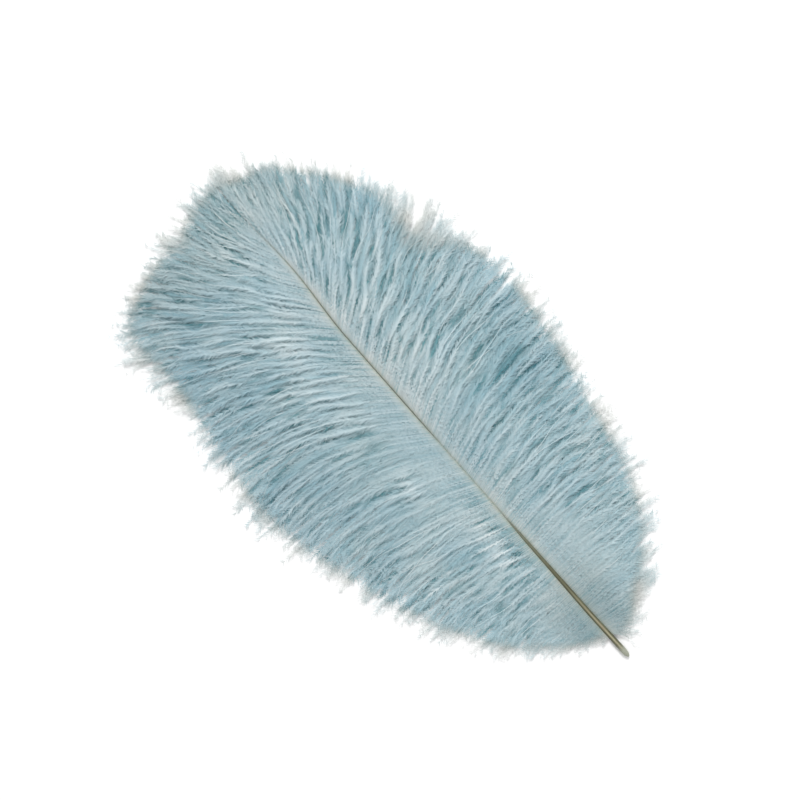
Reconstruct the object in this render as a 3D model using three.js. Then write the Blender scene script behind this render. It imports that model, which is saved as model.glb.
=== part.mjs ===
// Ostrich plume lying flat on a surface, better side up. Millimetres.
// +X runs along the shaft from the quill end to the tip, +Y to the left vane, +Z up.
// The origin is under the middle of the feather's box, on the surface it lies on.

import * as THREE from "three";

// ---------- Driving dimensions ----------

const SHAFT_LENGTH = 284;
const QUILL_DIAMETER = 2.9;
const SHAFT_TIP_DIAMETER = 0.5;
const TAPER_POWER = 2.4; // how fast the shaft thins from the quill to the tip
const QUILL_NOSE = 4; // length of the rounded closed end
const SHAFT_OVAL = 0.9; // height of the shaft's section over its width
const SHAFT_LIFT = 1.2; // how far the middle of the shaft is held off the surface

// How far the shaft sways to the left (y) at a few places along it (x).
const SHAFT_SWAY = [
  { x: 0, y: 0.4 },
  { x: 30, y: 0.85 },
  { x: 198, y: 1.2 },
  { x: 240, y: -1 },
  { x: 284, y: 0.9 },
];

const GROOVE_START = 70; // the groove along the top fades in from here
const GROOVE_FULL = 130;
const GROOVE_DEPTH = 0.4; // share of the local radius
const GROOVE_HALF_ANGLE = 0.5; // radians around the shaft

const TOUCH_GAP = 0.3; // kept between neighbouring pieces

const VANE_ROOT_HEIGHT = 3.6; // thickness of the barb blanket beside the shaft
const VANE_CROWN = 0.9; // extra height where the barbs arch over
const VANE_RIM_HEIGHT = 0.8; // thickness at the barb tips
const VANE_END_SHARE = 0.55; // thickness of the blanket at its two ends, over the middle's
const BARB_BEND = 0.52; // how far along its own direction a barb runs before it bends

// Guide barbs from the quill to the tip, chosen by eye: where each leaves the shaft (x),
// how it leans from the shaft's direction (degrees), and where its tip lies (x, y from the shaft).
const LEFT_GUIDES = [
  { root: 13, lean: 95, tip: [12, 5] },
  { root: 27, lean: 90, tip: [27, 29] },
  { root: 52, lean: 88, tip: [52, 50] },
  { root: 92, lean: 70, tip: [100, 72] },
  { root: 138, lean: 52, tip: [162, 86] },
  { root: 178, lean: 47, tip: [222, 82] },
  { root: 201, lean: 46, tip: [262, 82] },
  { root: 212, lean: 42, tip: [281, 62] },
  { root: 232, lean: 34, tip: [291, 34] },
  { root: 256, lean: 20, tip: [294, 13] },
  { root: 285, lean: 3, tip: [293, 0.3] },
];
const RIGHT_GUIDES = [
  { root: 12, lean: 100, tip: [12, 9] },
  { root: 27, lean: 94, tip: [24, 34] },
  { root: 55, lean: 86, tip: [53, 54] },
  { root: 98, lean: 75, tip: [105, 67] },
  { root: 142, lean: 58, tip: [166, 75] },
  { root: 176, lean: 55, tip: [212, 66] },
  { root: 203, lean: 48, tip: [252, 50] },
  { root: 226, lean: 36, tip: [281, 28] },
  { root: 254, lean: 20, tip: [291, 9] },
  { root: 285, lean: 3, tip: [293, 0.3] },
];

const SHAFT_STEPS = 96; // rings along the shaft
const SHAFT_SIDES = 22;
const VANE_ROWS = 48; // barb lines in a vane's grid
const VANE_COLUMNS = 10; // steps along each barb line

const SHAFT_COLOUR = 0xa89c7c;
const BARB_COLOUR = 0xa3bfca;
const SHAFT_ROUGHNESS = 0.4;
const BARB_ROUGHNESS = 0.85;

const radians = THREE.MathUtils.degToRad;
const smoothstep = THREE.MathUtils.smoothstep;

// ---------- Shaft ----------

// Here x is measured from the quill end.
function shaftRadius(x) {
  const tip = SHAFT_TIP_DIAMETER / 2;
  const left = Math.max(0, 1 - x / SHAFT_LENGTH);
  return tip + (QUILL_DIAMETER / 2 - tip) * Math.pow(left, TAPER_POWER);
}

function shaftSway(x) {
  let sway = SHAFT_SWAY[0].y;
  for (let i = 1; i < SHAFT_SWAY.length; i += 1) {
    const from = SHAFT_SWAY[i - 1];
    const to = SHAFT_SWAY[i];
    sway += (to.y - from.y) * smoothstep(x, from.x, to.x);
  }
  return sway;
}

function shaftHeight(x) {
  const held = SHAFT_LIFT * Math.sin((Math.PI * Math.min(x, SHAFT_LENGTH)) / SHAFT_LENGTH);
  return (QUILL_DIAMETER / 2) * SHAFT_OVAL + held;
}

// The profile starts and ends on the axis: a rounded quill end, the taper, and a blunt tip.
function shaftProfile() {
  const points = [new THREE.Vector2(0, 0)];
  const noseSteps = 8;
  for (let i = 1; i < noseSteps; i += 1) {
    const angle = (i / noseSteps) * (Math.PI / 2);
    const x = QUILL_NOSE * (1 - Math.cos(angle));
    points.push(new THREE.Vector2(shaftRadius(x) * Math.sin(angle), x));
  }
  for (let i = 0; i <= SHAFT_STEPS; i += 1) {
    const x = QUILL_NOSE + ((SHAFT_LENGTH - QUILL_NOSE) * i) / SHAFT_STEPS;
    points.push(new THREE.Vector2(shaftRadius(x), x));
  }
  points.push(new THREE.Vector2(0, SHAFT_LENGTH + SHAFT_TIP_DIAMETER / 2));
  return points;
}

// How deep the groove cuts in at a place along and around the shaft, as a share of the radius.
function grooveCut(x, sideways, upwards) {
  const fade = smoothstep(x, GROOVE_START, GROOVE_FULL);
  const fromTop = Math.abs(Math.atan2(sideways, upwards));
  return GROOVE_DEPTH * fade * (1 - smoothstep(fromTop, 0, GROOVE_HALF_ANGLE));
}

// The lathe's Y axis is laid along X by a quarter turn about Z, then bent to the shaft's run.
function shaftGeometry() {
  const geometry = new THREE.LatheGeometry(shaftProfile(), SHAFT_SIDES);
  const places = geometry.attributes.position;
  for (let i = 0; i < places.count; i += 1) {
    const x = places.getY(i);
    const sideways = places.getX(i);
    const upwards = places.getZ(i);
    const kept = 1 - grooveCut(x, sideways, upwards);
    places.setXYZ(
      i,
      x,
      shaftSway(x) - sideways * kept,
      shaftHeight(x) + upwards * kept * SHAFT_OVAL,
    );
  }
  geometry.computeVertexNormals();
  return geometry;
}

// ---------- Vanes ----------

// A smooth run through the guide barbs: at(0) is the first, at(1) the last.
function guideRun(guides) {
  const tips = new THREE.CatmullRomCurve3(
    guides.map((guide) => new THREE.Vector3(guide.tip[0], guide.tip[1], 0)),
  );
  const roots = new THREE.CatmullRomCurve3(
    guides.map((guide) => new THREE.Vector3(guide.root, guide.lean, 0)),
  );
  return { tipAt: (share) => tips.getPoint(share), rootAt: (share) => roots.getPoint(share) };
}

// One barb line seen from above, from the shaft's side to its tip.
function barbLine(run, share, side) {
  const { x: rootX, y: lean } = run.rootAt(share);
  const tip = run.tipAt(share);
  const rootY = Math.min(shaftRadius(rootX) + TOUCH_GAP, Math.max(tip.y, TOUCH_GAP / 2));
  const root = new THREE.Vector2(rootX, side * rootY + shaftSway(rootX));
  const end = new THREE.Vector2(tip.x, side * tip.y + shaftSway(tip.x));
  const reach = BARB_BEND * root.distanceTo(end);
  const way = new THREE.Vector2(Math.cos(radians(lean)), side * Math.sin(radians(lean)));
  const bend = root.clone().addScaledVector(way, reach);
  return new THREE.QuadraticBezierCurve(root, bend, end);
}

// Thickness of the blanket at a place along the vane and along the barb, both 0 to 1.
function blanketHeight(share, along) {
  const fromEnds = VANE_END_SHARE + (1 - VANE_END_SHARE) * Math.sin(Math.PI * share);
  const fall = THREE.MathUtils.lerp(VANE_ROOT_HEIGHT, VANE_RIM_HEIGHT, Math.pow(along, 1.4));
  return (fall + VANE_CROWN * Math.sin(Math.PI * along)) * fromEnds;
}

// A closed sheet: a crowned grid on top, the same grid flat on the surface, and walls between.
function vaneGeometry(guides, side) {
  const run = guideRun(guides);
  const width = VANE_COLUMNS + 1;
  const layer = (VANE_ROWS + 1) * width;
  const places = [];
  for (const onTop of [true, false]) {
    for (let row = 0; row <= VANE_ROWS; row += 1) {
      const share = row / VANE_ROWS;
      const line = barbLine(run, share, side);
      for (let column = 0; column <= VANE_COLUMNS; column += 1) {
        const along = column / VANE_COLUMNS;
        const point = line.getPoint(along);
        places.push(point.x, point.y, onTop ? blanketHeight(share, along) : 0);
      }
    }
  }
  const top = (row, column) => row * width + column;
  const under = (row, column) => layer + row * width + column;
  const faces = [];
  const quad = (a, b, c, d) => {
    if (side > 0) faces.push(a, b, c, a, c, d);
    else faces.push(a, c, b, a, d, c);
  };
  for (let row = 0; row < VANE_ROWS; row += 1) {
    for (let column = 0; column < VANE_COLUMNS; column += 1) {
      quad(top(row, column), top(row + 1, column), top(row + 1, column + 1), top(row, column + 1));
      quad(
        under(row, column),
        under(row, column + 1),
        under(row + 1, column + 1),
        under(row + 1, column),
      );
    }
    const rim = VANE_COLUMNS;
    quad(top(row, 0), under(row, 0), under(row + 1, 0), top(row + 1, 0));
    quad(top(row, rim), top(row + 1, rim), under(row + 1, rim), under(row, rim));
  }
  for (let column = 0; column < VANE_COLUMNS; column += 1) {
    const last = VANE_ROWS;
    quad(top(0, column), top(0, column + 1), under(0, column + 1), under(0, column));
    quad(top(last, column), under(last, column), under(last, column + 1), top(last, column + 1));
  }
  const geometry = new THREE.BufferGeometry();
  geometry.setAttribute("position", new THREE.Float32BufferAttribute(places, 3));
  geometry.setIndex(faces);
  geometry.computeVertexNormals();
  return geometry;
}

// ---------- The feather ----------

function finish(name, colour, roughness) {
  return new THREE.MeshStandardMaterial({ name, color: colour, roughness, metalness: 0 });
}

function piece(name, geometry, material) {
  const mesh = new THREE.Mesh(geometry, material);
  mesh.name = name;
  return mesh;
}

const feather = new THREE.Group();
feather.add(
  piece("shaft", shaftGeometry(), finish("quill_horn", SHAFT_COLOUR, SHAFT_ROUGHNESS)),
  piece("vane_left", vaneGeometry(LEFT_GUIDES, 1), finish("barbs", BARB_COLOUR, BARB_ROUGHNESS)),
  piece("vane_right", vaneGeometry(RIGHT_GUIDES, -1), finish("barbs", BARB_COLOUR, BARB_ROUGHNESS)),
);

const box = new THREE.Box3().setFromObject(feather);
const middle = box.getCenter(new THREE.Vector3());
feather.position.set(-middle.x, -middle.y, -box.min.z);

export default feather;
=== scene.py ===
"""Ostrich plume lying flat: every barb and its barbules as mesh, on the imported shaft."""

import math

import bpy
import numpy as np
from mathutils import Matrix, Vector


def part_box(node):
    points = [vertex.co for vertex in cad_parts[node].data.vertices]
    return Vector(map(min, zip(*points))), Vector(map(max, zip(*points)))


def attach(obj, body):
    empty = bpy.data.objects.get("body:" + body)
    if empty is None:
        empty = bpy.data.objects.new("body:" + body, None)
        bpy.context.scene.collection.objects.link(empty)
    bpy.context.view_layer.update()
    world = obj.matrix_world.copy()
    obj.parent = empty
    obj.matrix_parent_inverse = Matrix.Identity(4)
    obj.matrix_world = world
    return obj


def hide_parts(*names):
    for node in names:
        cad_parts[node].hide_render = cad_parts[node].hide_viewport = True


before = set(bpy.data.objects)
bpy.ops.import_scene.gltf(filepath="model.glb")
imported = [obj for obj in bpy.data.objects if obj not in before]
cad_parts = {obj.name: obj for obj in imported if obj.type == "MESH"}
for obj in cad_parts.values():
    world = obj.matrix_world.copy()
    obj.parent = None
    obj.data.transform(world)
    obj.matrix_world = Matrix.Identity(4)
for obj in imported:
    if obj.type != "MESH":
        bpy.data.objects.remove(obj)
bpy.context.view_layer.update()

MM = 0.001
LEFT_SEED, RIGHT_SEED = 20, 31

# ---------- Driving dimensions, in millimetres from the quill end and the shaft's axis ----------

SHAFT_LENGTH = 284.0
QUILL_DIAMETER = 2.9
SHAFT_TIP_DIAMETER = 0.5
TAPER_POWER = 2.4
SHAFT_OVAL = 0.9
SHAFT_LIFT = 1.2
SHAFT_SWAY = [(0, 0.4), (30, 0.85), (198, 1.2), (240, -1.0), (284, 0.9)]

BARB_BEND = 0.52

# Where each guide barb leaves the shaft (x), its lean from the shaft (degrees), and its tip (x, y).
LEFT_GUIDES = [
    (13, 95, 12, 5), (27, 90, 27, 29), (52, 88, 52, 50), (92, 70, 100, 72), (138, 52, 162, 86),
    (178, 47, 222, 80), (201, 46, 262, 80), (212, 42, 279, 60), (232, 34, 287, 31),
    (250, 18, 291.5, 12), (264, 3, 293, 0.6),
]
RIGHT_GUIDES = [
    (13, 124, 4.5, 6), (27, 94, 24.5, 33), (55, 86, 53, 54.5), (98, 75, 105, 68),
    (142, 58, 166, 76.5), (176, 55, 212, 67), (203, 48, 252, 50), (226, 36, 281, 27.5),
    (248, 18, 290, 8), (264, 3, 293, 0.6),
]

BARBS_PER_SIDE = 640
TIP_CROWDING = 0.72  # barbs stand closer together where their tips spread
BARB_ROOT_WIDTH = 0.22
BARB_TIP_WIDTH = 0.05
SWAPPED_SHARE = 0.08  # barbs that break the turn-about of upper and lower layer
BARE_SHARE = 0.06  # barbs whose outer half has lost its barbules
BARE_THICKER = 1.9  # how many times as wide such a barb is drawn
BARE_PALER = 0.6  # how far it's turned to the pale of the tufts

BARBULE_STEP = 0.37
BARBULE_SHORT = 0.6  # beside the shaft
BARBULE_LONG = 3.0
BARBULES_PER_TUFT = 4

RIPPLES = 10
RIPPLE_SHORTEST = 2.4
RIPPLE_LONGEST = 7.5
RIPPLE_DRIFT = 0.58  # how strongly the barbs gather under a crest
LOWER_DRIFT = 0.15  # the lower layer's share of that, so that it closes the partings
RIPPLE_HEIGHT = 0.7  # from a crest to the level between crest and hollow
FEWEST_TURNS = 0.4  # ripples that pass under a barb on its way out
MOST_TURNS = 4.0
BACK_SHARE = 0.35  # ripples that slant the other way
CRIMP = 0.14  # how far a barb kinks from side to side along its run
CRIMP_PERIOD = 1.9
BILLOWS = 3  # slow waves that bend neighbouring barbs alike
BILLOW_SIZE = 0.34
BILLOW_SHORTEST = 22.0  # along the barbs
BILLOW_LONGEST = 52.0

WANDER = 2.4  # spread of the barbs' lengths
WISP_SHARE = 0.26
WISP_LONGEST = 8.0
LONGEST_REACH = 1.12

# Ruffled places on the rim, where wisps fray outwards: share of the vane's barbs, half width,
# and how much further in the barbs are left undyed.
LEFT_RUFFLES = [(0.56, 0.045, 6), (0.80, 0.02, 8)]
RIGHT_RUFFLES = [(0.575, 0.045, 24), (0.10, 0.025, 5)]

# Places seen from above: x, distance from the shaft, half width each way, and strength.
LEFT_CALM = [  # the down lies smooth
    (130, 13, 42, 26, 1), (28, 12, 16, 14, 1), (128, 26, 10, 6, -1), (118, 46, 26, 18, 0.55),
]
RIGHT_CALM = [(46, 14, 36, 24, 1)]
LEFT_LIVELY = [(74, 10, 26, 12, 1)]  # partings come in close to the shaft
RIGHT_LIVELY = [(212, 11, 48, 11, 1)]
# Pale places are painted: above zero a painted highlight on tufts that stand up, below zero painted
# shade.
LEFT_PALE = [  # tufts that stand up, and below zero, down that is pressed into the shade
    (128, 25, 7, 3, 1), (80, 13, 14, 5, 0.9), (50, 9, 13, 6, 0.7), (64, 5, 34, 7, -0.5),
    (196, 26, 22, 9, 0.35), (195, 9, 18, 7, -0.25), (278, 5, 10, 6, -0.6), (75, 52, 18, 10, 0.3),
    (152, 25, 15, 9, -0.35),
]
RIGHT_PALE = [
    (180, 14, 30, 10, 0.15), (245, 23, 18, 9, -0.5), (195, 37, 18, 9, -0.4), (190, 3, 90, 3.5, 0.45),
    (140, 48, 24, 16, -0.4),
]

FULL_SIZE_LENGTH = 80  # shorter barbs arch and wave less
SHORT_BARB = 16  # shorter ones count as this long where a change is shared out over the length
SHORT_SHARE = 0.22  # barbs that stop well before the rim
FEWEST_STATIONS = 8
LEAST_PACE = 80  # for a whole share, where guide barbs almost touch
LEAST_HEIGHT = 0.35
LEAST_BARBULE_HEIGHT = 0.12
LOWER_TIP_SHIFT = 0.35  # the lower layer's tips keep closer to their own places

TWIG_SIZES = (2, 3)  # barbs that lie together
BARE_FROM = 0.45  # share of its run from which a bare barb has lost its barbules
BARE_STRAY = 9.0  # how far its tip strays along the rim
BARE_LOFT = 0.28
BARE_TINT = 0.45
TUFT_PULL = 0.45  # how far barbules bend to the middle of their tuft
TUFT_TINT = 0.22  # how much paler or darker a tuft is than its barb
THINNED_SHARE = 0.72  # barbules missing at a barb's very tip

# Stretches over which something fades in or out. Along the shaft, from the quill end:
ROOTS_CLIMB = (70, 92)  # barb roots move from the shaft's shoulders to its top
ROOTS_COVER = (84, 98)  # they cross over the top
ROOTS_UNCOVER = (128, 142)
ROOTS_CLOSE_IN = (200, 256)
DOWNY_END = (25, 65)  # the fluff of the quill end
TIPWARD = (195, 230)  # ripples die out sooner, and barbs stay full to their tips
NEAR_TIP = (235, 280)  # the colour turns a little warmer
# Painted shade beside the shaft at the quill end:
NEAR_QUILL = (30, 64)  # up to here it's a little darker close to the shaft

# Along a barb, from the shaft:
PAIRED_START = (1, 7)  # barbs lie in twos and threes
PAIRED_END = (7, 22)
ROOT_SHADE_END = (2, 9)
QUILL_SHADE_END = (8, 22)
RIPPLES_STIR = (2, 10)
RIPPLES_FREE = (7, 32)
LIVELY_START = (2, 8)
CRIMP_START = (1, 4)
BILLOW_START = (3, 24)
BARBULES_LENGTHEN = (3, 26)

# Back along a barb, from its tip:
LOOSE_TIP = (0, 14)
THINNED_TIP = (0, 13)

# The row frame's origin is under the middle of the box, so the shaft's box gives the shift.
shaft_low, shaft_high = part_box("shaft")


# ---------- The feather's plan ----------

def smoothstep(value, low, high):
    """0 below low, 1 above high, with a soft change between."""
    share = np.clip((value - low) / (high - low), 0.0, 1.0)
    return share * share * (3 - 2 * share)


def shaft_radius(x):
    tip = SHAFT_TIP_DIAMETER / 2
    still_to_run = np.clip(1 - x / SHAFT_LENGTH, 0, 1)
    return tip + (QUILL_DIAMETER / 2 - tip) * still_to_run ** TAPER_POWER


def shaft_sway(x):
    """How far the shaft's middle is to the left of its axis."""
    sway = np.full(np.shape(x), SHAFT_SWAY[0][1], float)
    for (from_x, from_y), (to_x, to_y) in zip(SHAFT_SWAY, SHAFT_SWAY[1:]):
        sway += (to_y - from_y) * smoothstep(x, from_x, to_x)
    return sway


def shaft_height(x):
    """How high the shaft's middle is held."""
    held = SHAFT_LIFT * np.sin(math.pi * np.clip(x / SHAFT_LENGTH, 0, 1))
    return QUILL_DIAMETER / 2 * SHAFT_OVAL + held


along_shaft = np.linspace(0, SHAFT_LENGTH, 400)
QUILL_END_X = shaft_low.x / MM
AXIS_Y = shaft_high.y / MM - np.max(shaft_sway(along_shaft) + shaft_radius(along_shaft))


def smooth_run(rows, share):
    """Catmull-Rom through the rows, at shares 0 to 1."""
    rows = np.asarray(rows, float)
    rows = np.vstack([2 * rows[0] - rows[1], rows, 2 * rows[-1] - rows[-2]])
    place = np.clip(share, 0, 1) * (len(rows) - 3)
    i = np.minimum(place.astype(int), len(rows) - 4)
    u = (place - i)[:, None]
    a, b, c, d = rows[i], rows[i + 1], rows[i + 2], rows[i + 3]
    return 0.5 * (2 * b + (c - a) * u + (2 * a - 5 * b + 4 * c - d) * u ** 2
                  + (3 * b - a - 3 * c + d) * u ** 3)


def root_offset(x):
    """How far from the axis barbs leave the shaft: its shoulders low down, then its top."""
    shoulder = shaft_radius(x) * (0.97 - 0.14 * smoothstep(x, 30, 75))
    line = 0.21 - 0.16 * smoothstep(x, *ROOTS_CLOSE_IN)
    covered = smoothstep(x, *ROOTS_COVER) * (1 - smoothstep(x, *ROOTS_UNCOVER))
    line = line - 0.34 * covered
    return shoulder + (line - shoulder) * smoothstep(x, *ROOTS_CLIMB)


def plan_point(guides, side, share, along):
    """Where a barb is, seen from above: share picks the barb, along runs from 0 at the shaft to 1."""
    run = smooth_run(guides, share)
    root_x, lean, tip_x, tip_y = run[:, 0], np.radians(run[:, 1]), run[:, 2], run[:, 3]
    root = np.stack([root_x, side * root_offset(root_x)], 1)
    tip = np.stack([tip_x, side * tip_y], 1)
    way = np.stack([np.cos(lean), side * np.sin(lean)], 1)
    bend = root + way * (BARB_BEND * np.linalg.norm(tip - root, axis=1))[:, None]
    t = along[:, None]
    point = (1 - t) ** 2 * root + 2 * t * (1 - t) * bend + t ** 2 * tip
    point[:, 1] += shaft_sway(np.clip(point[:, 0], 0, SHAFT_LENGTH)) * (1 - 0.5 * along)
    return point


def even_shares(guides, count):
    """Shares at which barbs leave the shaft."""
    grid = np.linspace(0, 1, 2001)
    run = smooth_run(guides, grid)
    root_step = np.abs(np.diff(run[:, 0]))
    tip_step = np.linalg.norm(np.diff(run[:, 2:], axis=0), axis=1)
    run_up = np.concatenate([[0], np.cumsum(np.maximum(root_step, TIP_CROWDING * tip_step))])
    return np.interp(np.linspace(0, run_up[-1], count), run_up, grid)


# ---------- Ripples: barbs gather into ridges and part over hollows ----------

def make_ripples():
    """Random waves across the barbs, each slanting a little along them."""
    period = np.geomspace(RIPPLE_SHORTEST, RIPPLE_LONGEST, RIPPLES)
    period *= rng.uniform(0.9, 1.1, RIPPLES)
    way = np.where(rng.random(RIPPLES) < BACK_SHARE, -1, 1)
    return np.column_stack([
        2 * math.pi / period,
        2 * math.pi * way * rng.uniform(FEWEST_TURNS, MOST_TURNS, RIPPLES),
        rng.uniform(0, 2 * math.pi, RIPPLES),
        rng.uniform(0.05, 0.11, RIPPLES),
        rng.uniform(0, 2 * math.pi, RIPPLES),
        rng.uniform(3, 9, RIPPLES),
        rng.uniform(0.8, 1.2, RIPPLES) / math.sqrt(RIPPLES),
    ])


def ripple(waves_laid, row, along):
    """Sideways drift (mm) and crest height (about -1 to 1) at a row along the shaft."""
    drift, crest = np.zeros(len(row)), np.zeros(len(row))
    for pitch, turn, phase, swell, swell_phase, swell_turn, strength in waves_laid:
        angle = pitch * row + turn * along + phase
        size = strength * (0.9 + 0.6 * np.sin(swell * row + swell_phase + swell_turn * along))
        drift += size * np.sin(angle) / pitch
        crest -= size * np.cos(angle)
    return drift, crest


def billow(row, away):
    """A sideways bend, in millimetres, that neighbouring barbs share."""
    bend = np.zeros(len(row))
    for _ in range(BILLOWS):
        out_pitch = 2 * math.pi / rng.uniform(BILLOW_SHORTEST, BILLOW_LONGEST)
        row_pitch = 2 * math.pi / rng.uniform(22, 60) * rng.choice([-1, 1])
        phase = rng.uniform(0, 2 * math.pi)
        size = BILLOW_SIZE * rng.uniform(0.6, 1.2)
        bend += size * np.sin(out_pitch * away + row_pitch * row + phase)
    return bend


def cluster(shares, smallest, largest):
    """Runs of neighbouring barbs of random size: each barb's run number, and its run's middle."""
    number = np.zeros(len(shares), int)
    start, run = 0, 0
    while start < len(shares):
        size = int(rng.integers(smallest, largest + 1))
        number[start:start + size] = run
        start += size
        run += 1
    middle = np.array([shares[number == r].mean() for r in range(run)])
    return number, middle[number]


def waves(phase, along, turns):
    """A gentle irregular wave along a barb."""
    return (np.sin(2 * math.pi * (turns * along + phase))
            + 0.5 * np.sin(2 * math.pi * (2.3 * turns * along + 1.7 * phase)))


def barb_reaches(length, ruffled):
    """How far each barb reaches: some stop short, and a few wisps run on past the rim."""
    count = len(length)
    change = rng.normal(0, WANDER, count)
    change += (rng.random(count) < WISP_SHARE) * rng.uniform(1, WISP_LONGEST, count)
    change += ruffled * rng.uniform(-4, 8, count)
    reach = 1 + change / np.maximum(length, SHORT_BARB)
    short = rng.random(count) < SHORT_SHARE
    reach = np.where(short, reach * rng.uniform(0.65, 0.97, count), reach)
    longest = LONGEST_REACH + 4 / np.maximum(length, SHORT_BARB) * (length < 60)
    return np.clip(reach, 0.5, longest)


def ruffle(shares, places):
    """How ruffled each barb is, from 0 to about 1, and how much further in it's left undyed."""
    bells = [np.exp(-((shares - middle) / half_width) ** 2) for middle, half_width, _ in places]
    return sum(bells), sum(bell * depth for bell, (_, _, depth) in zip(bells, places))


def within(places, plan):
    """How strongly the places touch each point of the plan, from -1 to 1."""
    along_x, out_y = plan[:, 0], np.abs(plan[:, 1])
    bells = [strength * np.exp(-((along_x - x) / half_x) ** 2 - ((out_y - y) / half_y) ** 2)
             for x, y, half_x, half_y, strength in places]
    return np.clip(sum(bells), -1, 1)


def paces(guides, shares):
    """How far a barb's root and its tip move for one whole share, in millimetres."""
    step = 0.004
    gap = (smooth_run(guides, shares + step) - smooth_run(guides, shares - step)) / (2 * step)
    root_pace = np.maximum(np.abs(gap[:, 0]), LEAST_PACE)
    tip_pace = np.maximum(np.hypot(gap[:, 2], gap[:, 3]), LEAST_PACE)
    return root_pace, tip_pace


def lay_barbs(guides, side, ruffles, calm_places, lively_places, pale_places):
    """Every barb of one vane as a run of stations: its place, and what its material reads."""
    shares = even_shares(guides, BARBS_PER_SIDE)
    count = len(shares)

    # What each barb draws at random, alone or together with its twig.
    twig, twig_middle = cluster(shares, *TWIG_SIZES)
    twigs = twig.max() + 1
    lifted = (np.arange(count) % 2 == 0) ^ (rng.random(count) < SWAPPED_SHARE)
    bare = rng.random(count) < BARE_SHARE
    ruffled, bared = ruffle(shares, ruffles)
    root_pace, tip_pace = paces(guides, shares)
    tip_shift = rng.normal(0, 0.6, twigs)[twig] + rng.normal(0, 1.1, count) * (1 + 2 * ruffled)
    tip_shift *= np.where(lifted, 1, LOWER_TIP_SHIFT)
    tip_shift += np.where(bare, rng.normal(0, BARE_STRAY, count), 0)
    layer = np.where(lifted, 1.0, -1.0)
    loft_change = 0.04 * rng.normal(0, 1, twigs)[twig] + 0.06 * rng.normal(0, 1, count)
    loft_change = np.where(bare, BARE_LOFT, loft_change)
    tint_change = 0.1 * rng.normal(0, 1, twigs)[twig] + 0.20 * rng.normal(0, 1, count)
    tint_change = np.where(bare, BARE_TINT, tint_change)
    twig_phase, own_phase = rng.random(twigs)[twig], rng.random(count)
    sunk = np.append(np.diff(twig) > 0, True) * rng.uniform(0.4, 1.3, count)
    standing = rng.uniform(0, 1, count) * np.where(lifted, 1, 0.3)

    # Each barb's length, and from it the stations along it, one for each pair of barbules.
    steps = 24
    grid = np.tile(np.linspace(0, 1, steps), count)
    rough = plan_point(guides, side, np.repeat(shares, steps), grid).reshape(count, steps, 2)
    length = np.linalg.norm(np.diff(rough, axis=1), axis=2).sum(1)
    reach = barb_reaches(length, ruffled)
    stations = np.maximum((length * reach / BARBULE_STEP).astype(int), FEWEST_STATIONS)
    barb = np.repeat(np.arange(count), stations)
    first = np.concatenate([[0], np.cumsum(stations)[:-1]])
    own = (np.arange(len(barb)) - first[barb]) / (stations[barb] - 1)
    along = own * reach[barb]
    away = along * length[barb]
    to_tip = (1 - own) * (length * reach)[barb]
    to_rim = (1 - along) * length[barb]
    size = np.clip(length[barb] / FULL_SIZE_LENGTH, 0.25, 1)
    row = smooth_run(guides, shares)[barb, 0]
    downy = 1 - smoothstep(row, *DOWNY_END)
    straight = plan_point(guides, side, shares[barb], along)
    smooth = within(calm_places, straight)
    lively = within(lively_places, straight)
    paler = within(pale_places, straight)

    # Beside the shaft the barbs lie in twos and threes, and the last of each sinks a little and is
    # painted darker, as shade between the twigs.
    near = 1 - smoothstep(away, *PAIRED_END)
    between = sunk[barb] * near * smoothstep(away, *PAIRED_START) * (1 - 0.6 * smooth)

    # Seen from above, barbs drift into ridges, and each twig's tips draw together. The drift is
    # free out in the vane, and settles again towards the rim.
    lower, upper = make_ripples(), make_ripples()
    drift, crest = (np.where(lifted[barb], high, low) for high, low in
                    zip(ripple(upper, row, along), ripple(lower, row, along)))
    free = 0.12 * smoothstep(away, *RIPPLES_STIR) + 0.88 * smoothstep(away, *RIPPLES_FREE)
    free = free + np.maximum(1.05 - free, 0) * lively * smoothstep(away, *LIVELY_START)
    free = free * (1 - 0.45 * downy * (1 - lively)) * (1 - 0.75 * smooth)
    drawn = 0.2 * smoothstep(along, 0.7, 1.0) + 0.3 * near * smoothstep(away, *PAIRED_START)
    share = shares[barb] + (twig_middle - shares)[barb] * drawn
    share = share + (tip_shift / tip_pace)[barb] * along ** 2
    tipward = smoothstep(row, *TIPWARD)
    settle = 1 - 0.92 * smoothstep(along, 0.45 - 0.2 * tipward, 0.9 - 0.2 * tipward)
    settle = settle / (1 + (np.clip(tip_pace / root_pace, 1, 4)[barb] - 1) * along)
    settle = settle * np.where(lifted, 1, LOWER_DRIFT)[barb]
    share = share + drift * RIPPLE_DRIFT * free * settle / root_pace[barb]
    plan = plan_point(guides, side, np.clip(share, 0, 1), along)

    # How high in the down each point lies, and how pale it is painted, both from 0 to 1; the paleness
    # holds random tone, painted shade and painted highlight.
    level = 0.48 + 0.085 * layer[barb] * (1 - 0.6 * smooth) - 0.06 * between
    level = level + loft_change[barb] * (1 - 0.7 * smooth) * (1 - 0.7 * near)
    level = np.clip(level + 0.12 * paler, 0, 1)
    shade = 0.52 + 0.14 * layer[barb] * near + 0.4 * paler - 0.42 * between
    shade = shade - 0.45 * (sunk[barb] - 0.3) * (1 - smoothstep(away, *ROOT_SHADE_END))
    shade = np.clip(shade + tint_change[barb] * (1 - 0.5 * smooth) * (1 - 0.4 * near), 0, 1)

    # Off the shaft, over an arch, down to the surface at the tip.
    radius, offset = shaft_radius(row), root_offset(row)
    on_shaft = shaft_height(row) + SHAFT_OVAL * np.sqrt(np.maximum(radius ** 2 - offset ** 2, 0))
    arch = (1.0 + 4.4 * level) * np.sin(math.pi * np.clip(along, 0, 1) ** 0.7) ** 0.8
    height = (on_shaft + 0.12) * np.maximum(1 - along, 0) ** 1.5 + 1.3 * along + arch * size
    height = height + RIPPLE_HEIGHT * crest * free * size
    height = height + 0.35 * waves(twig_phase[barb], along, 1.6) * along * size

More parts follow.
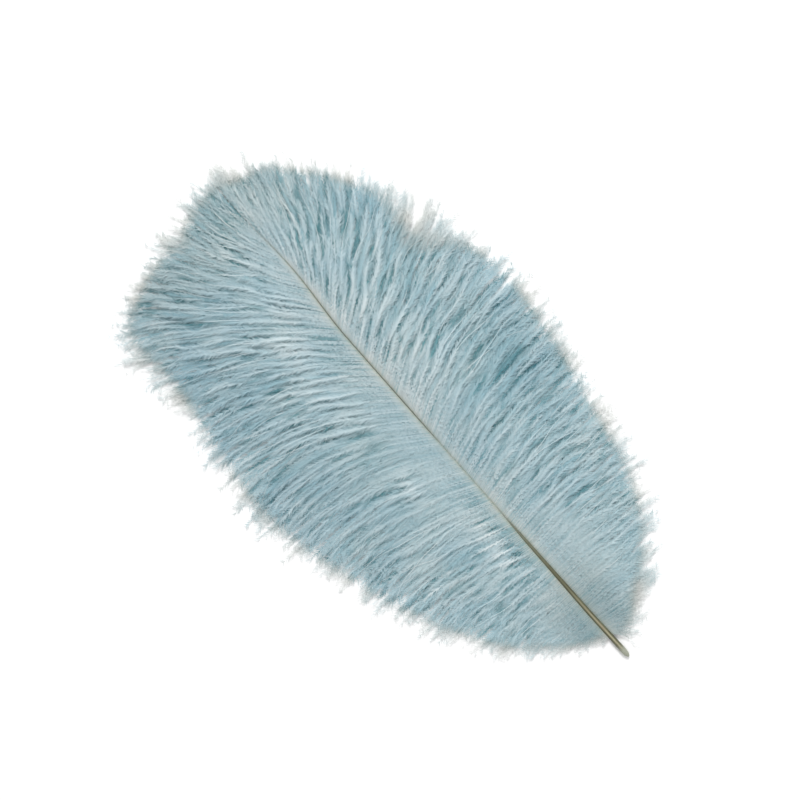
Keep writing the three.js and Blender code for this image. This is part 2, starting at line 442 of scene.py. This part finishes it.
    # To and fro sideways: a curl towards the tip, kinks all along, and a bend that neighbours share.
    forward = unit(next_minus_previous(plan, barb))
    aside = np.stack([-forward[:, 1], forward[:, 0]], 1)
    curl = 0.26 * waves(twig_phase[barb], along, 1.6) + 0.38 * waves(own_phase[barb], along, 2.1)
    curly = 1 + 0.8 * downy + 1.0 * ruffled[barb] + 0.35 * (1 - smoothstep(to_tip, *LOOSE_TIP))
    crimped = away / CRIMP_PERIOD
    kink = (0.45 + 0.15 * near) * waves(own_phase[barb], crimped, 1)
    kink = kink + (0.3 + 0.8 * near) * waves(twig_phase[barb], crimped, 0.8)
    kink = kink * CRIMP * smoothstep(away, *CRIMP_START) * (1 - 0.35 * downy)
    bend = billow(row, away) * smoothstep(away, *BILLOW_START)
    bend = bend * (1 + 0.6 * downy) * (1 - 0.4 * smooth)
    plan = plan + aside * (curl * along * size * curly + kink + bend)[:, None]
    height = height + 0.6 * np.roll(kink, 1)

    stripped = bare[barb] & (along > BARE_FROM)
    # Painted highlights, on the standing tufts of pale places and along the crests of lifted barbs.
    tuft_highlight = paler * standing[barb] * (0.7 + 0.5 * crest)
    tuft_highlight = tuft_highlight + 0.4 * (standing[barb] ** 2 * np.clip(crest * free + 0.5 * near, 0, 1))
    tuft_highlight = np.clip(tuft_highlight, 0, 1)
    # Painted shade beside the shaft near the quill end.
    quill_shade_stretch = 1 - smoothstep(plan[:, 0], *NEAR_QUILL)

    return {
        "barb": barb, "own": own, "away": away, "to_tip": to_tip, "size": size, "downy": downy,
        "bared": bared[barb], "to_rim": to_rim, "bare": stripped, "tipward": tipward,
        "place": np.column_stack([plan, np.maximum(height, LEAST_HEIGHT)]),
        "loft": level,
        "tone_and_shade": shade,
        "near_tip": smoothstep(plan[:, 0], *NEAR_TIP),
        "quill_shade": quill_shade_stretch * (1 - smoothstep(away, *QUILL_SHADE_END)),
        # A low crest is painted shade, in the hollows between ridges and between twigs.
        "crest": np.clip(0.5 + 0.5 * crest * free + 0.3 * paler - 0.28 * between, 0, 1),
        "tuft_highlight": np.where(stripped, BARE_PALER, tuft_highlight),
    }


def next_minus_previous(rows, barb):
    """The difference across each station, one-sided at a barb's two ends."""
    after = np.roll(rows, -1, 0)
    before = np.roll(rows, 1, 0)
    last = np.roll(barb, -1) != barb
    start = np.roll(barb, 1) != barb
    after[last] = rows[last]
    before[start] = rows[start]
    return after - before


def unit(vectors):
    """The rows at length 1."""
    return vectors / np.maximum(np.linalg.norm(vectors, axis=1), 1e-9)[:, None]


# ---------- Barb and barbule mesh ----------

def gather(barb, steps):
    """Neighbouring barbules that stick together in tufts: each one's tuft number."""
    fresh = rng.random(len(steps)) < 1 / BARBULES_PER_TUFT
    fresh[0] = True
    fresh[1:] |= barb[steps][1:] != barb[steps][:-1]
    return np.cumsum(fresh) - 1


def barbule_tips(laid, frame_axes, steps, edge, hand):
    """Tips of the barbules along one edge of every barb, and how pale each tuft is."""
    forward, left, up = frame_axes
    away, to_tip = laid["away"][steps], laid["to_tip"][steps]
    tuft = gather(laid["barb"], steps)
    members = np.bincount(tuft)
    shared = rng.normal(0, 1, (4, len(members)))[:, tuft]
    single = rng.normal(0, 1, (3, len(steps)))

    spread = smoothstep(away, *BARBULES_LENGTHEN)
    ending = 1 - smoothstep(to_tip, *LOOSE_TIP)
    downy = laid["downy"][steps]
    reach = BARBULE_SHORT + (BARBULE_LONG - BARBULE_SHORT) * spread
    reach = reach * (0.55 + 0.45 * laid["size"][steps]) * (1 + 0.2 * downy)
    reach = reach * np.clip(1 + 0.20 * shared[0] + 0.10 * single[0], 0.35, 1.6)
    lean = np.radians(44 - 14 * spread + (7 + 7 * ending) * shared[1] + 4 * single[1]
                      + 9 * downy * shared[3])
    rise = np.radians(4 + 19 * shared[2] + 7 * single[2])

    ahead = np.cos(lean) * reach
    out = np.sin(lean) * np.cos(rise) * reach
    lift = np.sin(lean) * np.sin(rise) * reach - 0.08 * reach
    tip = ((edge[steps] + edge[steps + 1]) / 2 + forward[steps] * ahead[:, None]
           + left[steps] * (hand * out)[:, None] + up[steps] * lift[:, None])
    together = np.column_stack([np.bincount(tuft, tip[:, axis]) for axis in range(3)])
    together = (together / members[:, None])[tuft]
    tip = tip + (together - tip) * TUFT_PULL
    tip[:, 2] = np.maximum(tip[:, 2], LEAST_BARBULE_HEIGHT)
    return tip, shared[3]


def barb_mesh(name, laid_all, chosen):
    """One piece: the chosen barbs' ribbons, with barbules from both edges of every ribbon.

    What is held by hand is 1 for a barb's left edge and -1 for its right.
    """
    keep = chosen[laid_all["barb"]]
    laid = {label: values[keep] for label, values in laid_all.items()}
    barb, place, own = laid["barb"], laid["place"], laid["own"]
    n = len(barb)

    forward = unit(next_minus_previous(place, barb))
    left = unit(np.column_stack([-forward[:, 1], forward[:, 0], np.zeros(n)]))
    up = np.cross(forward, left)
    half = (BARB_ROOT_WIDTH + (BARB_TIP_WIDTH - BARB_ROOT_WIDTH) * own) / 2
    half = (half * np.where(laid["bare"], BARE_THICKER, 1.0))[:, None]
    edges = {1: place + left * half, -1: place - left * half}

    # Barbules thin out over the last stretch of a barb, which leaves the rim wispy.
    here = np.flatnonzero(barb[:-1] == barb[1:])
    thinned = THINNED_SHARE * (1 - smoothstep(laid["to_tip"][here], *THINNED_TIP))
    thinned = thinned * (1 - 0.4 * laid["tipward"][here])
    full = rng.random((2, len(here))) > thinned
    full &= ~laid["bare"][here]
    steps = {1: here[full[0]], -1: here[full[1]]}
    tips, pale = {}, {}
    for hand in (1, -1):
        tips[hand], pale[hand] = barbule_tips(laid, (forward, left, up), steps[hand],
                                              edges[hand], hand)

    corner = {1: 2 * n, -1: 2 * n + len(tips[1])}
    quads = np.column_stack([here, here + n, here + n + 1, here + 1])
    left_tri = np.column_stack([steps[1], steps[1] + 1, corner[1] + np.arange(len(steps[1]))])
    right_tri = np.column_stack([steps[-1] + 1 + n, steps[-1] + n,
                                 corner[-1] + np.arange(len(steps[-1]))])
    verts = np.vstack([edges[1], edges[-1], tips[1], tips[-1]])
    verts = (verts + (QUILL_END_X, AXIS_Y, 0)) * MM

    mesh = bpy.data.meshes.new(name)
    mesh.vertices.add(len(verts))
    mesh.vertices.foreach_set("co", verts.astype(np.float32).ravel())
    loops = np.concatenate([quads.ravel(), left_tri.ravel(), right_tri.ravel()])
    totals = np.repeat([4, 3], [len(quads), len(left_tri) + len(right_tri)])
    starts = np.concatenate([[0], np.cumsum(totals)[:-1]])
    mesh.loops.add(len(loops))
    mesh.loops.foreach_set("vertex_index", loops.astype(np.int32))
    mesh.polygons.add(len(totals))
    mesh.polygons.foreach_set("loop_start", starts.astype(np.int32))
    mesh.polygons.foreach_set("loop_total", totals.astype(np.int32))
    mesh.update(calc_edges=True)
    mesh.polygons.foreach_set("use_smooth", np.ones(len(totals), bool))

    def by_vertex(values):
        return np.concatenate([values, values, values[steps[1]], values[steps[-1]]])

    def store(label, values):
        layer = mesh.attributes.new(label, "FLOAT", "POINT")
        layer.data.foreach_set("value", values.astype(np.float32))

    # What the material reads; the distance from the shaft is in tenths of a metre.
    # The tone carries painted shade; each tuft adds its own random paleness or darkness.
    tone_and_shade = by_vertex(laid["tone_and_shade"])
    tone_and_shade[2 * n:] += TUFT_TINT * np.concatenate([pale[1], pale[-1]])
    store("tone_and_shade", np.clip(tone_and_shade, 0, 1))
    store("away", by_vertex(laid["away"] / 100))
    undyed = 1 - smoothstep(laid["to_rim"], -3, 9 + laid["bared"] + 4 * laid["downy"])
    store("undyed", by_vertex(undyed))
    for label in ("loft", "crest", "near_tip", "quill_shade", "tuft_highlight"):
        store(label, by_vertex(laid[label]))

    # A map on which each barb has a column of its own, its barbules fanned to both sides.
    column = np.unique(barb, return_inverse=True)[1]
    columns = column.max() + 1
    centre = (column + 0.5) / columns
    ribbon, fan = 0.10 / columns, 0.42 / columns
    map_u = np.concatenate([centre - ribbon, centre + ribbon,
                            centre[steps[1]] - fan, centre[steps[-1]] + fan])
    uv = np.column_stack([map_u, by_vertex(own * 0.98 + 0.01)])[loops]
    mesh.uv_layers.new(name="OFBake").uv.foreach_set("vector", uv.astype(np.float32).ravel())
    return mesh


def add_piece(name, mesh, node_name, material):
    piece = bpy.data.objects.new(name, mesh)
    bpy.context.scene.collection.objects.link(piece)
    mesh.materials.append(material)
    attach(piece, "root")
    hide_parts(node_name)


# ---------- Shader helpers ----------

def colour(red, green, blue):
    """An sRGB colour, 0 to 255, as the shader's linear one."""
    def linear(value):
        value /= 255
        return value / 12.92 if value <= 0.04045 else ((value + 0.055) / 1.055) ** 2.4
    return (linear(red), linear(green), linear(blue), 1.0)


def feed(tree, socket, value):
    """A link where the value is another node's output, or else the value itself."""
    if isinstance(value, bpy.types.NodeSocket):
        tree.links.new(value, socket)
    else:
        socket.default_value = value


def node(tree, kind, **settings):
    made = tree.nodes.new(kind)
    for key, value in settings.items():
        setattr(made, key, value)
    return made


def attribute(tree, label):
    """A value stored with the mesh's points."""
    return node(tree, "ShaderNodeAttribute", attribute_name=label).outputs["Fac"]


def ramp(tree, fac, stops):
    made = node(tree, "ShaderNodeValToRGB")
    elements = made.color_ramp.elements
    while len(elements) < len(stops):
        elements.new(0.5)
    for element, (at, value) in zip(elements, stops):
        element.position = at
        element.color = value
    feed(tree, made.inputs["Fac"], fac)
    return made.outputs["Color"]


def mix(tree, kind, fac, a, b):
    made = node(tree, "ShaderNodeMix", data_type="RGBA", blend_type=kind)
    feed(tree, made.inputs["Factor"], fac)
    feed(tree, made.inputs[6], a)
    feed(tree, made.inputs[7], b)
    return made.outputs[2]


def maths(tree, operation, *values):
    made = node(tree, "ShaderNodeMath", operation=operation)
    for socket, value in zip(made.inputs, values):
        feed(tree, socket, value)
    return made.outputs[0]


def spread_between(tree, value, low, high, to_low, to_high):
    """to_low up to low, to_high from high on, with a soft change between."""
    made = node(tree, "ShaderNodeMapRange", interpolation_type="SMOOTHSTEP")
    for socket, setting in zip(made.inputs, (value, low, high, to_low, to_high)):
        feed(tree, socket, setting)
    return made.outputs[0]


def new_material(name):
    material = bpy.data.materials.new(name)
    material.use_nodes = True
    material.node_tree.nodes.clear()
    return material


def new_group(name, inputs, outputs):
    group = bpy.data.node_groups.new(name, "ShaderNodeTree")
    for label, kind in inputs:
        group.interface.new_socket(name=label, in_out="INPUT", socket_type=kind)
    for label, kind in outputs:
        group.interface.new_socket(name=label, in_out="OUTPUT", socket_type=kind)
    return group, node(group, "NodeGroupInput"), node(group, "NodeGroupOutput")


def use_group(tree, group, **values):
    made = node(tree, "ShaderNodeGroup", node_tree=group)
    for label, value in values.items():
        feed(tree, made.inputs[label.replace("_", " ")], value)
    return made


def fine_bump(tree, height, strength):
    made = node(tree, "ShaderNodeBump")
    made.inputs["Strength"].default_value = strength
    made.inputs["Distance"].default_value = 0.2 * MM
    feed(tree, made.inputs["Height"], height)
    return made.outputs["Normal"]


def surface(tree, base, roughness, specular):
    made = node(tree, "ShaderNodeBsdfPrincipled")
    made.inputs["Roughness"].default_value = roughness
    made.inputs["Specular IOR Level"].default_value = specular
    feed(tree, made.inputs["Base Color"], base)
    return made


def put_out(tree, shader):
    out = node(tree, "ShaderNodeOutputMaterial")
    feed(tree, out.inputs["Surface"], shader.outputs[0])


# ---------- Shared effects ----------

def mottle_group():
    """Soft uneven patches and fine grain, for horn and for dyed down."""
    group, inlet, outlet = new_group(
        "mottle",
        [("Patch Scale", "NodeSocketFloat"), ("Grain Scale", "NodeSocketFloat")],
        [("Patches", "NodeSocketFloat"), ("Grain", "NodeSocketFloat")],
    )
    place = node(group, "ShaderNodeTexCoord").outputs["Object"]
    for label, scale, detail in (("Patches", "Patch Scale", 2.0), ("Grain", "Grain Scale", 4.0)):
        noise = node(group, "ShaderNodeTexNoise")
        feed(group, noise.inputs["Vector"], place)
        feed(group, noise.inputs["Scale"], inlet.outputs[scale])
        noise.inputs["Detail"].default_value = detail
        feed(group, outlet.inputs[label], noise.outputs["Fac"])
    return group


# ---------- Materials ----------

def barb_material(mottle):
    """Dyed down: cream beside the shaft, then pale blue, left undyed towards the tips; with painted
    shade and painted highlights.
    """
    material = new_material("dyed_barbs")
    tree = material.node_tree
    mottled = use_group(tree, mottle, Patch_Scale=45.0, Grain_Scale=900.0)

    body = ramp(tree, attribute(tree, "away"), [
        (0.0, colour(222, 219, 206)), (0.012, colour(219, 223, 221)), (0.05, colour(215, 226, 229)),
        (0.12, colour(219, 230, 233)), (0.30, colour(221, 233, 236)), (0.80, colour(209, 224, 229)),
    ])
    # The barbs' own random tone, darkened by painted shade on lower and sunk barbs and where the down
    # is pressed into the shade.
    dye_and_shade = ramp(tree, attribute(tree, "tone_and_shade"), [
        (0.0, colour(206, 230, 236)), (0.5, colour(242, 248, 250)), (1.0, colour(252, 254, 255)),
    ])
    toned = mix(tree, "MULTIPLY", 1.0, body, dye_and_shade)
    # Painted shade: the lower a barb lies in the down, the darker.
    lower_layer_shade = ramp(tree, attribute(tree, "loft"), [
        (0.1, colour(204, 227, 231)), (0.6, colour(255, 255, 255)),
    ])
    toned = mix(tree, "MULTIPLY", 0.6, toned, lower_layer_shade)
    # Painted shade in the hollows between ridges and between twigs.
    hollow_shade = ramp(tree, attribute(tree, "crest"), [
        (0.0, colour(137, 187, 192)), (0.45, colour(255, 255, 255)),
    ])
    toned = mix(tree, "MULTIPLY", 0.92, toned, hollow_shade)
    # A painted highlight, near white, on standing tufts and crests.
    toned = mix(tree, "MIX", attribute(tree, "tuft_highlight"), toned, colour(246, 250, 251))
    cloud = ramp(tree, mottled.outputs["Patches"], [
        (0.3, colour(238, 246, 248)), (0.7, colour(255, 254, 252)),
    ])
    toned = mix(tree, "MULTIPLY", 1.0, toned, cloud)
    toned = mix(tree, "MULTIPLY", attribute(tree, "near_tip"), toned, colour(246, 244, 242))
    # Painted shade beside the shaft near the quill end.
    toned = mix(tree, "MULTIPLY", attribute(tree, "quill_shade"), toned, colour(232, 234, 233))
    natural = ramp(tree, attribute(tree, "undyed"), [
        (0.35, colour(186, 185, 176)), (0.80, colour(232, 232, 229)),
    ])
    uneven = spread_between(tree, mottled.outputs["Patches"], 0.35, 0.65, 0.55, 1.0)
    undyed = spread_between(tree, attribute(tree, "undyed"), 0.05, 0.8, 0.0, 0.9)
    undyed = maths(tree, "MULTIPLY", undyed, uneven)
    base = mix(tree, "MIX", undyed, toned, natural)

    # About a third of the light passes through a barb.
    shader = surface(tree, base, 0.75, 0.2)
    feed(tree, shader.inputs["Normal"], fine_bump(tree, mottled.outputs["Grain"], 0.15))
    through = node(tree, "ShaderNodeBsdfTranslucent")
    feed(tree, through.inputs["Color"], base)
    both = node(tree, "ShaderNodeMixShader")
    both.inputs["Fac"].default_value = 0.35
    feed(tree, both.inputs[1], shader.outputs[0])
    feed(tree, both.inputs[2], through.outputs[0])
    put_out(tree, both)
    return material


def quill_material(mottle):
    """Horn: clear grey-green at the end, a painted cream highlight down its middle with olive edges,
    then olive all over, painted lighter against shade in two stretches.
    """
    material = new_material("quill_horn")
    tree = material.node_tree
    mottled = use_group(tree, mottle, Patch_Scale=160.0, Grain_Scale=2600.0)
    split = node(tree, "ShaderNodeSeparateXYZ")
    feed(tree, split.inputs[0], node(tree, "ShaderNodeTexCoord").outputs["Object"])
    x = maths(tree, "SUBTRACT", maths(tree, "MULTIPLY", split.outputs["X"], 1 / MM), QUILL_END_X)
    y = maths(tree, "SUBTRACT", maths(tree, "MULTIPLY", split.outputs["Y"], 1 / MM), AXIS_Y)
    # A cream band down the quill's middle is a painted highlight; the olive beside it is the horn's
    # own colour.
    middle = spread_between(tree, x, 0.0, 30.0, SHAFT_SWAY[0][1], SHAFT_SWAY[1][1])
    from_middle = maths(tree, "ABSOLUTE", maths(tree, "SUBTRACT", y, middle))
    width = spread_between(tree, x, 8.0, 60.0, 0.48, 0.18)
    quill_highlight = spread_between(tree, maths(tree, "DIVIDE", from_middle, width), 0.45, 1.2, 1.0, 0.0)
    quill_highlight = maths(tree, "MULTIPLY", quill_highlight, spread_between(tree, x, 18.0, 55.0, 1.0, 0.0))

    olive = ramp(tree, mottled.outputs["Patches"], [
        (0.30, colour(88, 88, 66)), (0.70, colour(108, 110, 86)),
    ])
    faded = colour(124, 132, 122)
    olive = mix(tree, "MIX", spread_between(tree, x, 45.0, 110.0, 0.0, 1.0), olive, faded)
    # Painted lighter where barb roots cross over the shaft and towards its tip, against the shade
    # along it there.
    paled_over = maths(tree, "MULTIPLY", spread_between(tree, x, 80.0, 96.0, 0.0, 0.8),
                   spread_between(tree, x, 126.0, 146.0, 1.0, 0.0))
    paled_over = maths(tree, "ADD", paled_over, spread_between(tree, x, 215.0, 255.0, 0.0, 0.8))
    olive = mix(tree, "MIX", paled_over, olive, colour(186, 196, 196))
    cream = ramp(tree, mottled.outputs["Patches"], [
        (0.32, colour(168, 166, 138)), (0.55, colour(162, 156, 130)), (0.72, colour(156, 142, 120)),
    ])
    horn = mix(tree, "MIX", quill_highlight, olive, cream)
    clear = spread_between(tree, x, 3.0, 8.0, 1.0, 0.0)
    horn = mix(tree, "MIX", clear, horn, colour(166, 170, 156))
    streaks = ramp(tree, mottled.outputs["Grain"], [
        (0.35, colour(222, 220, 212)), (0.65, colour(255, 255, 255)),
    ])
    horn = mix(tree, "MULTIPLY", 1.0, horn, streaks)

    shader = surface(tree, horn, 0.42, 0.4)
    feed(tree, shader.inputs["Normal"], fine_bump(tree, mottled.outputs["Grain"], 0.2))
    put_out(tree, shader)
    return material


def paper_material(mottle):
    """The white ground under the feather."""
    material = new_material("pale_paper")
    tree = material.node_tree
    mottled = use_group(tree, mottle, Patch_Scale=2.0, Grain_Scale=600.0)
    white = ramp(tree, mottled.outputs["Patches"], [
        (0.3, (0.92, 0.92, 0.92, 1)), (0.7, (0.94, 0.94, 0.94, 1)),
    ])
    put_out(tree, surface(tree, white, 0.9, 0.1))
    return material


# ---------- Stage ----------

PIXELS = 800
MM_PER_PIXEL = 0.4658
SHAFT_ANGLE = 131.3  # the way the shaft points in the frame, degrees from the right
CAMERA_TURN = -SHAFT_ANGLE
FRAME_MIDDLE = (160.0, 1.7)  # middle of the frame, from the quill end, along and left of the shaft
CAMERA_HEIGHT = 1500.0  # millimetres

SKY_STRENGTH = 0.74
KEY_POWER = 25.8  # watts
KEY_DISTANCE = 1.3  # this and the sizes below in metres
KEY_HEIGHT = 1.5
KEY_SIZE = 0.7
FLOOR_SIZE = 6


def lay_floor(material):
    bpy.ops.mesh.primitive_plane_add(size=FLOOR_SIZE, location=(0, 0, 0))
    floor = bpy.context.object
    floor.name = "floor"
    floor.data.materials.append(material)


def area_light(name, place, aim, size, power):
    data = bpy.data.lights.new(name, "AREA")
    data.shape = "DISK"
    data.size = size
    data.energy = power
    lamp = bpy.data.objects.new(name, data)
    bpy.context.scene.collection.objects.link(lamp)
    lamp.location = place
    lamp.rotation_euler = (Vector(aim) - Vector(place)).to_track_quat("-Z", "Y").to_euler()


def light_studio():
    world = bpy.data.worlds.new("studio")
    bpy.context.scene.world = world
    world.use_nodes = True
    world.node_tree.nodes["Background"].inputs["Color"].default_value = (1, 1, 1, 1)
    world.node_tree.nodes["Background"].inputs["Strength"].default_value = SKY_STRENGTH
    turn = math.radians(CAMERA_TURN)
    frame_top = Vector((-math.sin(turn), math.cos(turn), 0))
    key = frame_top * KEY_DISTANCE + Vector((0, 0, KEY_HEIGHT))
    area_light("key", key, (0, 0, 0), KEY_SIZE, KEY_POWER)


def set_camera():
    data = bpy.data.cameras.new("camera")
    data.sensor_width = 36
    data.lens = data.sensor_width * CAMERA_HEIGHT / (PIXELS * MM_PER_PIXEL)
    data.clip_start = 0.01
    camera = bpy.data.objects.new("camera", data)
    bpy.context.scene.collection.objects.link(camera)
    x = (QUILL_END_X + FRAME_MIDDLE[0]) * MM
    y = (AXIS_Y + FRAME_MIDDLE[1]) * MM
    camera.location = (x, y, CAMERA_HEIGHT * MM)
    camera.rotation_euler = (0, 0, math.radians(CAMERA_TURN))
    bpy.context.scene.camera = camera


# ---------- Build ----------

# Each vane is made in three pieces, by shares of its barbs from the quill end on.
ZONES = (("base", 0.0, 0.36), ("middle", 0.36, 0.66), ("tip", 0.66, 1.01))


def build_vane(label, laid, node_name, material):
    order = np.arange(BARBS_PER_SIDE) / BARBS_PER_SIDE
    for zone, low, high in ZONES:
        name = f"barbs_{label}_{zone}"
        mesh = barb_mesh(name, laid, (order >= low) & (order < high))
        add_piece(name, mesh, node_name, material)


mottle = mottle_group()
barbs = barb_material(mottle)

# Each vane draws from a random run of its own, so a change to one leaves the other as it is.
rng = np.random.default_rng(LEFT_SEED)
left_laid = lay_barbs(LEFT_GUIDES, 1, LEFT_RUFFLES, LEFT_CALM, LEFT_LIVELY, LEFT_PALE)
build_vane("left", left_laid, "vane_left", barbs)
rng = np.random.default_rng(RIGHT_SEED)
right_laid = lay_barbs(RIGHT_GUIDES, -1, RIGHT_RUFFLES, RIGHT_CALM, RIGHT_LIVELY, RIGHT_PALE)
build_vane("right", right_laid, "vane_right", barbs)
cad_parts["shaft"].material_slots[0].material = quill_material(mottle)

lay_floor(paper_material(mottle))
light_studio()
set_camera()
bpy.context.scene.view_settings.view_transform = "Standard"
